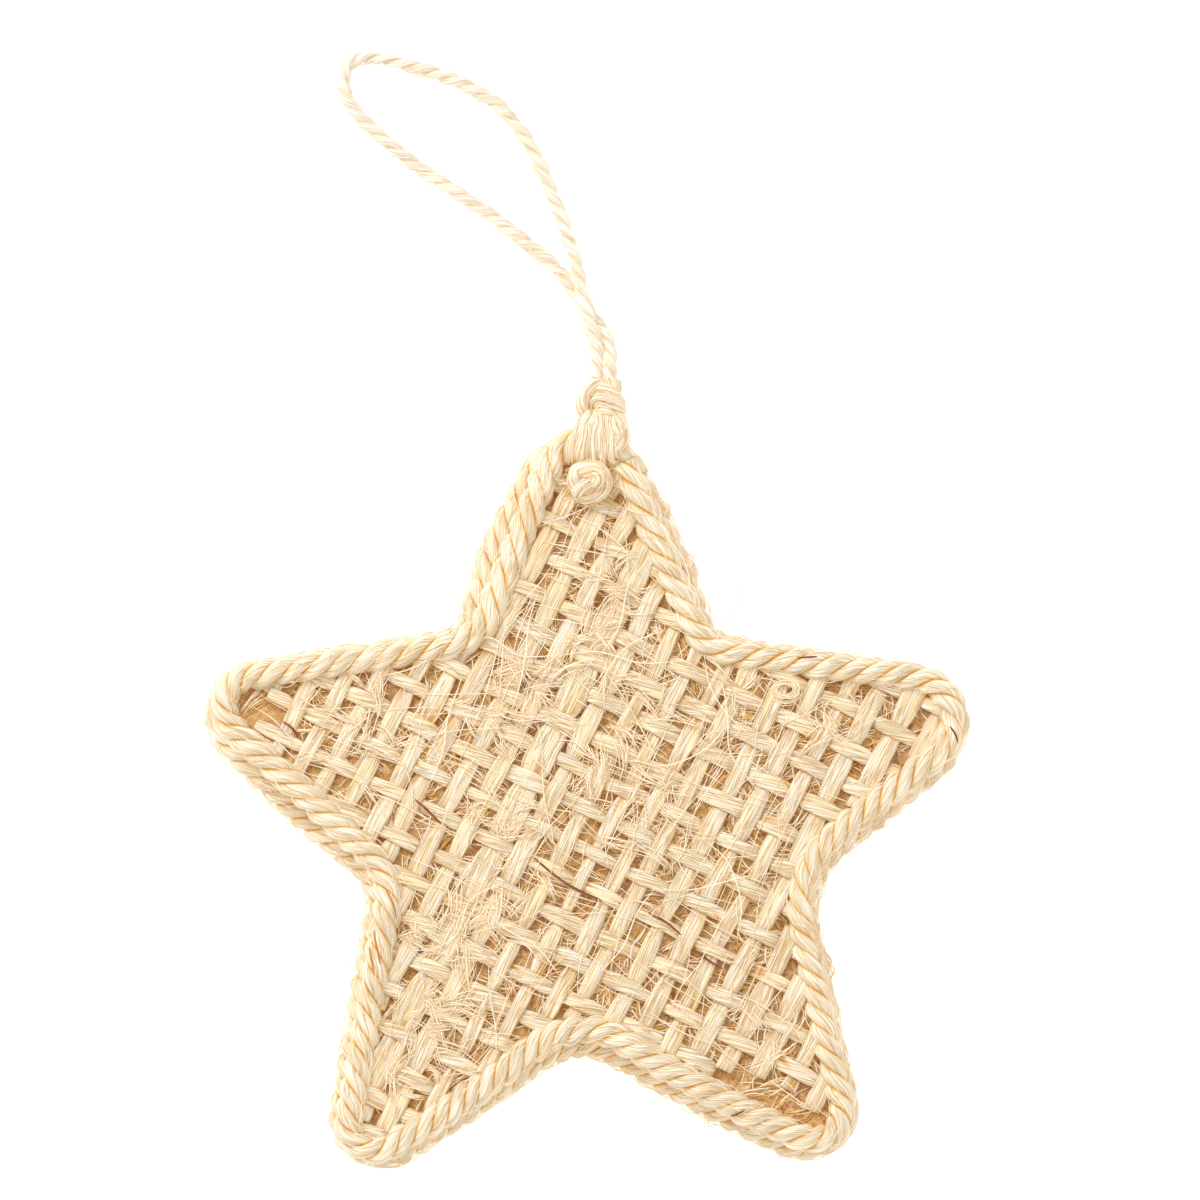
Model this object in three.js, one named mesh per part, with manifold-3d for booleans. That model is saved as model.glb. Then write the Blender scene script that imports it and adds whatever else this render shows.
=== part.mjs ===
// Fibre star ornament: a card star faced on both sides with openly woven fibre cloth, rimmed by two
// rings of twisted fibre rope, one nested on the other, with a tied loop of twine for hanging it up.
// Millimetres. The star lies on its back: X across the arms, +Y towards the top arm, +Z out of its face.

import * as THREE from "three";
import { mergeVertices } from "three/addons/utils/BufferGeometryUtils.js";
import Module from "manifold-3d";

const wasm = await Module();
wasm.setup();

// Star outline: the centreline of the front rope, as ten corners each rounded by its own radius, all
// as shares of the arms' reach. The star is bent by hand, so no two arms are quite alike.
const armReach = 66;
const starCorners = [
  { place: "top tip", x: -0.005, y: 1.015, radius: 0.094 },
  { place: "upper left notch", x: -0.262, y: 0.371, radius: 0.126 },
  { place: "left tip", x: -0.956, y: 0.268, radius: 0.074 },
  { place: "left notch", x: -0.461, y: -0.189, radius: 0.152 },
  { place: "lower left tip", x: -0.592, y: -0.926, radius: 0.062 },
  { place: "bottom notch", x: -0.02, y: -0.55, radius: 0.205 },
  { place: "lower right tip", x: 0.632, y: -0.891, radius: 0.067 },
  { place: "right notch", x: 0.479, y: -0.18, radius: 0.227 },
  { place: "right tip", x: 1.014, y: 0.253, radius: 0.1 },
  { place: "upper right notch", x: 0.274, y: 0.353, radius: 0.129 },
];
const arcSegments = 2;

// Rim ropes: three strands laid up with an S twist.
const ropeDiameter = 4.7;
const ropeLay = 13.6;
const strandsPerRope = 3;
const strandGroove = 0.65;
const stepsPerLay = 7;
const buttGap = 0.3;
const backRopeSpread = 1.2;
const backTipEase = 0.9;
const frontRopePhase = THREE.MathUtils.degToRad(20);
const backRopePhase = THREE.MathUtils.degToRad(75);

// Card and the cloth glued to its two faces.
const cardThickness = 3.0;
const clothThickness = 1.3;
const clothFloor = 0.55;
const warpPitch = 4.8;
const weftPitch = 5.5;
const warpWidth = 2.9;
const weftWidth = 2.4;
const floatShoulder = 0.45;
const warpBearing = THREE.MathUtils.degToRad(63.4);

// Gap kept between pieces that touch.
const touch = 0.3;

// Hanging twine.
const twineDiameter = 2.2;
const twineSides = 8;
const loopSteps = 36;
const knotSides = 5;
const knotSteps = 10;
const strapSides = 6;
const knotSwell = 1.1;
const knotHeartShare = 0.6;
const knotColumn = 2.2;
const topKnotWidth = 7.0;
const topKnotHeight = 5.8;
const topKnotDepth = 5.6;
const knotTilt = THREE.MathUtils.degToRad(60);
const knotLean = THREE.MathUtils.degToRad(28);
const stopperColumn = 0.3;
const stopperDrop = 6.7;
const stopperWidth = 7.0;
const stopperThickness = 4.2;
const strapWidth = 3.0;
const strapThickness = 1.4;
const strapSpread = 2.7;
const strapLift = 0.35;
const strapAngles = [50, 90, 130].map(THREE.MathUtils.degToRad);
const strapSteps = 8;

// Heights, from the surface that the back rope lies on.
const ropeRadius = ropeDiameter / 2;
const backRopeHeight = ropeRadius;
const ropeSpacing = ropeDiameter + touch;
const frontRopeHeight = backRopeHeight + Math.sqrt(ropeSpacing ** 2 - backRopeSpread ** 2);
const cardMiddle = (backRopeHeight + frontRopeHeight) / 2;
const cardTop = cardMiddle + cardThickness / 2;
const cardBottom = cardMiddle - cardThickness / 2;
const frontClothBottom = cardTop + touch;
const frontClothTop = frontClothBottom + clothThickness;
const frontRopeTop = frontRopeHeight + ropeRadius;

// Distance from a rope's centreline at which a flat piece between two heights clears the rope.
function clearOfRope(ropeHeight, low, high) {
  const nearest = THREE.MathUtils.clamp(ropeHeight, low, high) - ropeHeight;
  const reach = ropeRadius + touch;
  return Math.abs(nearest) < reach ? Math.sqrt(reach ** 2 - nearest ** 2) : 0;
}

// The star outline moved outwards by an offset, with its corners rounded, as a closed shape.
function starOutline(offset, tipEase = 0) {
  const count = starCorners.length;
  const outline = new THREE.Shape();
  const along = (from) => {
    const here = starCorners[from % count];
    const next = starCorners[(from + 1) % count];
    return new THREE.Vector2(next.x - here.x, next.y - here.y).normalize();
  };
  starCorners.forEach((corner, index) => {
    const before = along(index + count - 1);
    const after = along(index);
    const side = Math.sign(before.cross(after));
    const turn = Math.acos(before.dot(after));
    const outBefore = new THREE.Vector2(before.y, -before.x);
    const outAfter = new THREE.Vector2(after.y, -after.x);
    const shift = offset / (1 + outBefore.dot(outAfter));
    const ease = side > 0 ? tipEase : 0;
    const radius = corner.radius * armReach + side * offset + ease;
    const point = new THREE.Vector2(corner.x, corner.y).multiplyScalar(armReach);
    point.addScaledVector(outBefore, shift).addScaledVector(outAfter, shift);
    const start = point.clone().addScaledVector(before, -radius * Math.tan(turn / 2));
    const centre = start.clone().addScaledVector(outBefore, -side * radius);
    const startAngle = Math.atan2(start.y - centre.y, start.x - centre.x);
    outline.absarc(centre.x, centre.y, radius, startAngle, startAngle + side * turn, side < 0);
  });
  outline.closePath();
  return outline;
}

// Where the top tip of the front rope lies, and the knot above it.
const tipMiddle = Math.max(...starOutline(0).getPoints(arcSegments).map((point) => point.y));
const knotBottom = tipMiddle + ropeRadius + touch;
const knotTop = knotBottom + topKnotHeight;

// A manifold solid from a closed three.js geometry, and back.
const weldTolerance = 1e-4;

function solidOf(geometry) {
  const bare = geometry.clone();
  bare.deleteAttribute("normal");
  bare.deleteAttribute("uv");
  const merged = mergeVertices(bare, weldTolerance);
  const vertProperties = new Float32Array(merged.attributes.position.array);
  const triVerts = new Uint32Array(merged.index.array);
  return new wasm.Manifold(new wasm.Mesh({ numProp: 3, vertProperties, triVerts }));
}

function geometryOf(solid) {
  const mesh = solid.getMesh();
  const geometry = new THREE.BufferGeometry();
  geometry.setAttribute("position", new THREE.BufferAttribute(mesh.vertProperties, 3));
  geometry.setIndex(new THREE.BufferAttribute(mesh.triVerts, 1));
  geometry.computeVertexNormals();
  return geometry;
}

// A flat star between two heights, cut back to clear both ropes.
function starPlate(low, high) {
  const fromFront = clearOfRope(frontRopeHeight, low, high);
  const fromBack = clearOfRope(backRopeHeight, low, high);
  const inset = Math.max(fromFront, fromBack - backRopeSpread);
  const outline = starOutline(-inset, fromBack > 0 ? backTipEase : 0);
  const settings = { depth: high - low, bevelEnabled: false, curveSegments: arcSegments };
  return new THREE.ExtrudeGeometry(outline, settings).translate(0, 0, low);
}

// A section with a point every equal angle, at a radius given by each point's number.
function ringSection(points, radiusAt) {
  const section = [];
  for (let point = 0; point < points; point += 1) {
    const angle = ((point + 0.5) * 2 * Math.PI) / points;
    section.push(new THREE.Vector2(Math.cos(angle), Math.sin(angle)).multiplyScalar(radiusAt(point)));
  }
  return new THREE.Shape(section);
}

// Section of a laid rope: a crest and a groove to each strand.
function ropeSection() {
  return ringSection(2 * strandsPerRope, (point) => ropeRadius - (point % 2) * strandGroove);
}

// A rope laid once round the star, its two ends butted at the top tip.
function rimRope(outline, height, phase) {
  const ring = outline.getLength();
  const length = ring - buttGap;
  const turns = Math.round(ring / ropeLay);
  const settings = { depth: length, steps: turns * stepsPerLay, bevelEnabled: false };
  const rope = new THREE.ExtrudeGeometry(ropeSection(), settings);
  const position = rope.attributes.position;
  for (let index = 0; index < position.count; index += 1) {
    const run = position.getZ(index);
    const centre = outline.getPoint((run + buttGap / 2) / ring);
    const ahead = outline.getTangent((run + buttGap / 2) / ring);
    const twist = phase - (2 * Math.PI * turns * run) / length;
    const local = new THREE.Vector2(position.getX(index), position.getY(index));
    local.rotateAround(new THREE.Vector2(), twist);
    const x = centre.x + ahead.y * local.y;
    const y = centre.y - ahead.x * local.y;
    position.setXYZ(index, x, y, height + local.x);
  }
  return rope;
}

// Woven face: one low pillow to each crossing, long along the warp or the weft that lies on top.
function wovenRelief(reach) {
  const positions = [];
  const quad = (a, b, c, d) => positions.push(...a, ...b, ...c, ...a, ...c, ...d);
  const columns = Math.ceil(reach / warpPitch);
  const rows = Math.ceil(reach / weftPitch);
  for (let column = -columns; column <= columns; column += 1) {
    for (let row = -rows; row <= rows; row += 1) {
      const warpOnTop = (column + row) % 2 === 0;
      const u = column * warpPitch;
      const v = row * weftPitch;
      const halfU = warpPitch / 2;
      const halfV = weftPitch / 2;
      const topU = warpOnTop ? warpWidth / 2 : halfU - floatShoulder;
      const topV = warpOnTop ? halfV - floatShoulder : weftWidth / 2;
      const base = [[-1, -1], [1, -1], [1, 1], [-1, 1]];
      const foot = base.map(([du, dv]) => [u + du * halfU, v + dv * halfV, 0]);
      const low = base.map(([du, dv]) => [u + du * halfU, v + dv * halfV, clothFloor]);
      const top = base.map(([du, dv]) => [u + du * topU, v + dv * topV, clothThickness]);
      quad(...top);
      for (let side = 0; side < base.length; side += 1) {
        const next = (side + 1) % base.length;
        quad(low[side], low[next], top[next], top[side]);
      }
      quad(foot[3], foot[2], foot[1], foot[0]);
      if (column === columns) quad(foot[1], foot[2], low[2], low[1]);
      if (column === -columns) quad(foot[3], foot[0], low[0], low[3]);
      if (row === rows) quad(foot[2], foot[3], low[3], low[2]);
      if (row === -rows) quad(foot[0], foot[1], low[1], low[0]);
    }
  }
  const relief = new THREE.BufferGeometry();
  relief.setAttribute("position", new THREE.Float32BufferAttribute(positions, 3));
  return relief.rotateZ(warpBearing - Math.PI / 2);
}

// Centreline of the hanging loop, from the top knot's column and upper end, at heights above the
// surface. It leaves the knot, drops to the surface, runs round its crown, passes under itself and
// climbs back to the knot.
const loopRoute = [
  [-1.3, 0.4, 6.3],
  [-1.1, 3.2, 6.0],
  [-1.6, 7.3, 5.0],
  [-2.4, 11.4, 4.2],
  [-3.0, 14.7, 3.8],
  [-3.5, 17.1, 3.4],
  [-4.2, 20.5, 2.7],
  [-5.3, 24.6, 1.8],
  [-6.6, 28.7, 1.25],
  [-8.2, 32.7, 1.15],
  [-9.7, 36.7, 1.15],
  [-11.6, 40.3, 1.15],
  [-14.0, 43.8, 1.15],
  [-16.8, 46.7, 1.15],
  [-20.4, 49.0, 1.15],
  [-24.3, 51.0, 1.15],
  [-28.6, 52.4, 1.15],
  [-32.5, 53.5, 1.15],
  [-36.1, 54.3, 1.15],
  [-38.9, 54.0, 1.15],
  [-40.6, 52.4, 1.15],
  [-41.0, 50.2, 1.15],
  [-40.4, 47.5, 1.15],
  [-38.3, 44.6, 1.15],
  [-35.6, 42.0, 1.15],
  [-32.5, 39.2, 1.15],
  [-28.6, 36.2, 1.15],
  [-24.3, 33.3, 1.15],
  [-20.7, 30.8, 1.15],
  [-16.8, 28.1, 1.15],
  [-12.9, 25.0, 1.15],
  [-9.0, 21.8, 1.15],
  [-6.3, 19.1, 1.15],
  [-4.2, 16.4, 1.15],
  [-2.7, 14.3, 1.2],
  [-0.8, 11.5, 1.6],
  [0.9, 8.5, 2.7],
  [1.7, 5.9, 4.1],
  [1.6, 2.9, 5.7],
  [1.3, 0.4, 6.3],
].map(([x, y, z]) => new THREE.Vector3(knotColumn + x, knotTop + y, z));

function tubeAlong(points, section, steps) {
  const extrudePath = new THREE.CatmullRomCurve3(points, false, "centripetal");
  return new THREE.ExtrudeGeometry(section, { steps, extrudePath, bevelEnabled: false });
}

// One round turn of a knot, flattened to its width and height, tilted about X and leaned about Z.
function knotTurn(width, height, tilt, lean) {
  const thickness = twineDiameter * knotSwell;
  const turn = new THREE.TorusGeometry((width - thickness) / 2, thickness / 2, knotSides, knotSteps);
  return solidOf(turn.scale(1, height / width, 1).rotateX(tilt).rotateZ(lean));
}

// The filled middle of a knot.
function knotHeart(width, height, depth) {
  return solidOf(new THREE.SphereGeometry(0.5, knotSteps, knotSides).scale(width, height, depth));
}

// The tied part of the twine: a knot above the top tip, two flattened legs over the front rope, and
// the stopper knot on the face.
function tiedTwine() {
  const knotCentre = [knotColumn, knotBottom + topKnotHeight / 2, frontRopeHeight];
  const stopperMiddle = tipMiddle - stopperDrop;
  const stopperCentre = [stopperColumn, stopperMiddle, frontClothTop + touch + stopperThickness / 2];
  const topKnot = knotHeart(topKnotWidth * knotHeartShare, topKnotHeight, topKnotDepth)
    .add(knotTurn(topKnotWidth, topKnotDepth, knotTilt, knotLean))
    .add(knotTurn(topKnotWidth, topKnotDepth, -knotTilt, -knotLean))
    .translate(knotCentre);
  const heartWidth = stopperWidth * knotHeartShare;
  const stopper = knotHeart(heartWidth, heartWidth, stopperThickness)
    .add(knotTurn(stopperWidth, stopperWidth, 0, 0))
    .translate(stopperCentre);
  const strapCircle = ringSection(strapSides, () => 1).getPoints();
  const flatten = new THREE.Vector2(strapWidth / 2, strapThickness / 2);
  const strapSection = new THREE.Shape(strapCircle.map((point) => point.multiply(flatten)));
  const bend = ropeRadius + touch + strapLift + strapThickness / 2;
  let tie = topKnot.add(stopper);
  for (const side of [-1, 1]) {
    const x = stopperColumn + (side * strapSpread) / 2;
    const route = [new THREE.Vector3(x, knotCentre[1], knotCentre[2] + strapThickness)];
    for (const angle of strapAngles) {
      const y = tipMiddle + bend * Math.cos(angle);
      const z = frontRopeHeight + bend * Math.sin(angle);
      route.push(new THREE.Vector3(x, y, z));
    }
    route.push(new THREE.Vector3(x, stopperMiddle + stopperWidth / 4, stopperCentre[2]));
    tie = tie.add(solidOf(tubeAlong(route, strapSection, strapSteps)));
  }
  return geometryOf(tie);
}

const fibre = (name, geometry, colour, roughness) => {
  const material = new THREE.MeshStandardMaterial({ color: colour, roughness, metalness: 0 });
  const mesh = new THREE.Mesh(geometry, material);
  mesh.name = name;
  return mesh;
};

const cornerReach = Math.max(...starCorners.map((corner) => Math.hypot(corner.x, corner.y)));
const relief = solidOf(wovenRelief(cornerReach * armReach)).translate(0, 0, frontClothBottom);
const frontCloth = relief.intersect(solidOf(starPlate(frontClothBottom, frontClothTop)));
const backClothTop = cardBottom - touch;
const twineSection = ringSection(twineSides, () => twineDiameter / 2);

const backClothBottom = backClothTop - clothThickness;
const frontRope = rimRope(starOutline(0), frontRopeHeight, frontRopePhase);
const backRope = rimRope(starOutline(backRopeSpread, backTipEase), backRopeHeight, backRopePhase);

const star = new THREE.Group();
star.add(fibre("card_core", starPlate(cardBottom, cardTop), "#b58f5c", 0.95));
star.add(fibre("cloth_front", geometryOf(frontCloth), "#e3c693", 0.9));
star.add(fibre("cloth_back", starPlate(backClothBottom, backClothTop), "#dcbf8c", 0.9));
star.add(fibre("rope_front", frontRope, "#f0dcae", 0.8));
star.add(fibre("rope_back", backRope, "#efdcb2", 0.8));
star.add(fibre("hanger_loop", tubeAlong(loopRoute, twineSection, loopSteps), "#efd9a6", 0.85));
star.add(fibre("hanger_tie", tiedTwine(), "#efd9a6", 0.85));

export default star;
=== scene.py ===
# Fibre star ornament, lying face up: an open weave of pale sisal glued to a card star, rimmed by two
# twisted ropes and hung from a tied loop of twine. Metres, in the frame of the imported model.
from math import cos, pi, radians, sin, tan

import bpy
import numpy as np
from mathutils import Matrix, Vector


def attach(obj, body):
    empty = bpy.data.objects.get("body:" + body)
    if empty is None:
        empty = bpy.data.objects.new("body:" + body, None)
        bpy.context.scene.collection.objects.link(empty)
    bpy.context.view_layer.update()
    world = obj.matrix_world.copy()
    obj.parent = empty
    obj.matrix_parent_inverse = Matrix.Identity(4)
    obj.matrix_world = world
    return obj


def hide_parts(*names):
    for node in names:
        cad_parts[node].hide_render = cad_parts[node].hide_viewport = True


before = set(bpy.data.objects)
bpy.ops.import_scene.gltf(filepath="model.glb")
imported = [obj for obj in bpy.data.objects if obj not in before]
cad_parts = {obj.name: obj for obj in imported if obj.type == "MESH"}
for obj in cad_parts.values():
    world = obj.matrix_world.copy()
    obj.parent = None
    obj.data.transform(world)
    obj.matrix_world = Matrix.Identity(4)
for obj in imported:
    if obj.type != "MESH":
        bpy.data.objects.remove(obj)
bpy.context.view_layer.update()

bpy.ops.object.select_all(action="DESELECT")

# Studio: the camera looks almost straight down at the star, through a long lens. A white floor, an
# even white surround, one large soft lamp at the picture's upper left and a weak one lower right.
aim = (0.00188, 0.0316, 0.005)
camera_rise = radians(80)
camera_distance = 2.0933
lens_mm = 400
away = (0.0, -cos(camera_rise), sin(camera_rise))
camera_place = [here + camera_distance * step for here, step in zip(aim, away)]
bpy.ops.object.camera_add(location=camera_place, rotation=(pi / 2 - camera_rise, 0, 0))
camera = bpy.context.object
camera.data.lens = lens_mm
camera.data.sensor_width = 36
camera.data.clip_start = 0.01
bpy.context.scene.camera = camera
bpy.context.scene.view_settings.view_transform = "Standard"


def linear(code):
    """The linear colour of an sRGB hex value."""
    shares = [int(code[at:at + 2], 16) / 255 for at in (1, 3, 5)]
    return [s / 12.92 if s <= 0.04045 else ((s + 0.055) / 1.055) ** 2.4 for s in shares] + [1.0]


def add_node(tree, kind, inputs=None, **settings):
    """Adds a node with its settings. Each input takes a value, or a link from another's output."""
    node = tree.nodes.new(kind)
    for name, value in settings.items():
        setattr(node, name, value)
    for name, value in (inputs or {}).items():
        if isinstance(value, bpy.types.NodeSocket):
            tree.links.new(value, node.inputs[name])
        else:
            node.inputs[name].default_value = value
    return node


def new_material(name):
    """An empty material, and its node tree with the output alone."""
    material = bpy.data.materials.new(name)
    material.use_nodes = True
    material.node_tree.nodes.clear()
    return material, material.node_tree


def finish_material(tree, shader):
    """Joins a shader to the material's output."""
    add_node(tree, "ShaderNodeOutputMaterial", {"Surface": shader.outputs[0]})


world = bpy.data.worlds.new("white_surround")
world.use_nodes = True
surround = world.node_tree.nodes["Background"]
surround.inputs["Color"].default_value = linear("#fffdf8")
surround.inputs["Strength"].default_value = 0.77
bpy.context.scene.world = world

key_watts = 3.45
fill_watts = 0.4
bpy.ops.object.light_add(type="AREA", location=(-0.36, 0.40, 0.52), rotation=(0, 0, 0))
key_lamp = bpy.context.object
key_lamp.data.energy = key_watts
key_lamp.data.size = 0.42
key_lamp.data.color = linear("#fffdfa")[:3]
bpy.ops.object.light_add(type="AREA", location=(0.45, -0.30, 0.55), rotation=(0, 0, 0))
fill_lamp = bpy.context.object
fill_lamp.data.energy = fill_watts
fill_lamp.data.size = 0.6
for lamp in (key_lamp, fill_lamp):
    away_from_star = lamp.location - Vector((0, 0.02, 0))
    lamp.rotation_euler = away_from_star.to_track_quat("Z", "Y").to_euler()

# White studio paper, dead matt; a little light of its own keeps the ground white as in the photo.
paper, paper_tree = new_material("white_paper")
paper_shader = add_node(
    paper_tree,
    "ShaderNodeBsdfPrincipled",
    {
        "Base Color": linear("#f7f6f3"),
        "Roughness": 0.95,
        "Emission Color": linear("#ffffff"),
        "Emission Strength": 0.45,
    },
)
finish_material(paper_tree, paper_shader)
bpy.ops.mesh.primitive_plane_add(size=4.0, location=(0, 0, -0.0001))
floor = bpy.context.object
floor.name = "studio_floor"
floor.data.materials.append(paper)

# Hanging loop: the free part of a twine of two plies of combed sisal with an S twist. It leaves
# the top knot, lies in one loose loop to the left, crosses itself and goes back to the knot.
# Lengths in this file are millimetres until a piece is made.
mm = 0.001
twine_lay = 6.2
twine_plies = 2
twine_step = 0.45
ply_hub = 0.39
ply_swell = 0.82
knot_column = 2.2
knot_top = 65.298
surface_clearance = 0.02
# The loop's route from the knot and back to it, by its places from the knot's top. Inside the knot
# each end goes on a little, so that the twine comes out of the middle of it.
loop_route = [
    (-0.9, 0.4, 6.1), (-0.8, 3.2, 5.7), (-1.1, 7.3, 4.7), (-2.2, 11.4, 4.1), (-3.0, 14.7, 3.8),
    (-3.5, 17.1, 3.4), (-4.2, 20.5, 2.7), (-5.3, 24.6, 1.8), (-6.6, 28.7, 1.25), (-8.2, 32.7, 1.15),
    (-9.7, 36.7, 1.15), (-11.6, 40.3, 1.15), (-14.0, 43.8, 1.15), (-16.8, 46.7, 1.15),
    (-20.4, 49.0, 1.15), (-24.3, 51.0, 1.15), (-28.6, 52.4, 1.15), (-32.5, 53.5, 1.15),
    (-36.1, 54.3, 1.15), (-38.9, 54.0, 1.15), (-40.6, 52.4, 1.15), (-41.0, 50.2, 1.15),
    (-40.4, 47.5, 1.15), (-38.3, 44.6, 1.15), (-35.6, 42.0, 1.15), (-32.5, 39.2, 1.15),
    (-28.6, 36.2, 1.15), (-24.3, 33.3, 1.15), (-20.7, 30.8, 1.15), (-16.8, 28.1, 1.15),
    (-12.9, 25.0, 1.15), (-9.0, 21.8, 1.15), (-6.3, 19.1, 1.15), (-4.2, 16.4, 1.15),
    (-2.8, 14.3, 1.2), (-1.0, 11.5, 1.7), (0.6, 8.5, 3.0), (1.2, 5.9, 4.6), (1.2, 2.9, 6.0),
    (1.1, 0.4, 6.5),
]
tucked_start = (-0.4, -1.5, 6.8)
tucked_end = (0.8, -1.5, 7.0)


def grain(along, across, seed):
    """Smooth noise from -1 to 1 over two coordinates, the same each run."""
    along, across = np.broadcast_arrays(np.asarray(along, float), np.asarray(across, float))
    column = np.floor(along).astype(np.int64)
    row = np.floor(across).astype(np.int64)
    ease_a = (along - column) ** 2 * (3 - 2 * (along - column))
    ease_b = (across - row) ** 2 * (3 - 2 * (across - row))

    def corner(a, b):
        key = (a * 374761393 + b * 668265263 + seed * 1442695041) & 0xFFFFFFFF
        key = ((key ^ (key >> 13)) * 1274126177) & 0xFFFFFFFF
        return ((key ^ (key >> 16)) & 0xFFFF) / 32767.5 - 1.0

    near = corner(column, row) * (1 - ease_a) + corner(column + 1, row) * ease_a
    far = corner(column, row + 1) * (1 - ease_a) + corner(column + 1, row + 1) * ease_a
    return near * (1 - ease_b) + far * ease_b


def run_of(points):
    """How far along a line each of its points is."""
    steps = np.linalg.norm(np.diff(points, axis=0), axis=1)
    return np.concatenate([[0.0], np.cumsum(steps)])


def smooth_line(route, spacing):
    """A smooth line through the route's points, with points at equal steps."""
    knots = np.asarray(route, float)
    padded = np.vstack([2 * knots[0] - knots[1], knots, 2 * knots[-1] - knots[-2]])
    share = np.linspace(0, 1, 13)[:-1, None]
    spans = []
    for at in range(len(knots) - 1):
        before, here, there, after = padded[at:at + 4]
        bend = 2 * before - 5 * here + 4 * there - after
        twist = 3 * here - before - 3 * there + after
        spans.append(here + 0.5 * ((there - before) * share + bend * share**2 + twist * share**3))
    line = np.vstack([*spans, knots[-1:]])
    run = run_of(line)
    places = np.linspace(0, run[-1], max(3, round(run[-1] / spacing)) + 1)
    return np.stack([np.interp(places, run, line[:, axis]) for axis in range(3)], 1)


def carried_axes(line, first=(0.0, 0.0, 1.0)):
    """Two axes across a line at each point, turned no more than the line turns them."""
    ahead = np.gradient(line, axis=0)
    ahead /= np.linalg.norm(ahead, axis=1, keepdims=True)
    one = np.empty_like(line)
    carried = np.asarray(first, float)
    for at, direction in enumerate(ahead):
        carried = carried - direction * carried.dot(direction)
        carried = carried / np.linalg.norm(carried)
        one[at] = carried
    return one, np.cross(ahead, one)


def laid_strands(
    line, one, two, strands, lay, start, hub, swell, across_points, seed, wander=0.2, drift=-0.5,
    tightened=0.0
):
    """Closed tubes for strands laid round a line with an S twist. Each strand is a petal of the
    cord's section: a round back outside, and a point at the cord's middle. Its fibres drift back
    across it, nearer to the cord's own direction, since it is spun the other way. The lay can be
    tightened half way along, by that turn in radians."""
    run = run_of(line)[:, None]
    half = pi / strands
    petal = np.linspace(-half * 0.99, half * 0.99, across_points)[None, :]
    across = np.arange(across_points) * (hub + swell) * 2 * half / (across_points - 1)
    tubes = []
    for strand in range(strands):
        plump = 1 + 0.1 * grain(run / 6, 4.7 * strand, seed) + 0.03 * grain(run / 2.4, strand, seed)
        size = swell * plump
        sweep = wander * grain(run / 13, 0.5, seed + 7)
        turn = start + 2 * pi * strand / strands - 2 * pi * run / lay + sweep
        turn = turn + tightened * np.sin(2 * pi * run / run[-1])
        reach = hub * np.cos(petal) + np.sqrt(size**2 - (hub * np.sin(petal)) ** 2)
        lowest = hub * cos(half) + np.sqrt(swell**2 - (hub * sin(half)) ** 2)
        fibre = across[None, :] + drift * run + 31 * strand
        bundles = 0.045 * swell * grain(run / 9, fibre / (0.52 * swell), seed + 11)
        bundles = bundles + 0.035 * swell * grain(run / 7, fibre / (0.3 * swell), seed + 13)
        reach = reach + bundles
        # How far into the groove between strands each point lies; the material paints shade in gold by
        # it.
        sunk = np.clip((hub + swell - reach) / (hub + swell - lowest), 0, 1.2)
        angle = turn + petal
        rings = line[:, None, :] + reach[..., None] * (
            np.cos(angle)[..., None] * one[:, None, :] + np.sin(angle)[..., None] * two[:, None, :]
        )
        middle = line + 0.06 * hub * (np.cos(turn) * one + np.sin(turn) * two)
        rings = np.concatenate([rings, middle[:, None, :]], 1)
        sunk = np.concatenate([sunk, np.ones_like(run)], 1)
        tone = 0.5 + 0.5 * grain(run / 30, 9.3 * strand + 0.4, seed + 3)
        tubes.append({
            "rings": rings,
            "along": run[:, 0],
            "across": np.concatenate([across, [across[-1] + hub, across[-1] + 2 * hub]]),
            "drift": drift,
            "origin": 31.0 * strand + 7.0 * (seed % 97),
            "sunk": sunk,
            "tone": np.broadcast_to(tone, sunk.shape),
        })
    return tubes


def fibre_piece(name, tubes, material):
    """One object made of closed tubes, pressed flat where they lie on the surface below. Each
    face's place along and across the fibre is its UV map, in millimetres, and how sunk and how
    golden each point is are attributes."""
    points, faces, places, sunk, tone = [], [], [], [], []
    base = 0
    for tube in tubes:
        rings = tube["rings"]
        rings[..., 2] = np.maximum(rings[..., 2], surface_clearance)
        steps, sides = rings.shape[:2]
        index = base + np.arange(steps * sides).reshape(steps, sides)
        nexts = np.roll(index, -1, axis=1)
        quads = np.stack([index[:-1], nexts[:-1], nexts[1:], index[1:]], -1).reshape(-1, 4)
        faces.extend(quads.tolist())
        faces.append(index[0, ::-1].tolist())
        faces.append(index[-1].tolist())
        along = np.broadcast_to(tube["along"][:, None], (steps, sides + 1))
        across = tube["across"][None, :] + tube["drift"] * along + tube["origin"]
        place = np.stack([along, across], -1)
        corners = [place[:-1, :-1], place[:-1, 1:], place[1:, 1:], place[1:, :-1]]
        places.append(np.stack(corners, 2).reshape(-1, 2))
        places.append(place[0, :-1][::-1])
        places.append(place[-1, :-1])
        points.append(rings.reshape(-1, 3))
        sunk.append(np.asarray(tube["sunk"]).reshape(-1))
        tone.append(np.asarray(tube["tone"]).reshape(-1))
        base += steps * sides
    mesh = bpy.data.meshes.new(name)
    mesh.from_pydata(np.vstack(points) * mm, [], faces)
    mesh.uv_layers.new(name="fibre").data.foreach_set("uv", np.vstack(places).ravel())
    for label, values in (("sunk", sunk), ("tone", tone)):
        attribute = mesh.attributes.new(label, "FLOAT", "POINT")
        attribute.data.foreach_set("value", np.concatenate(values).astype(np.float32))
    mesh.shade_smooth()
    mesh.materials.append(material)
    piece = bpy.data.objects.new(name, mesh)
    bpy.context.scene.collection.objects.link(piece)
    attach(piece, "root")
    return piece


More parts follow.
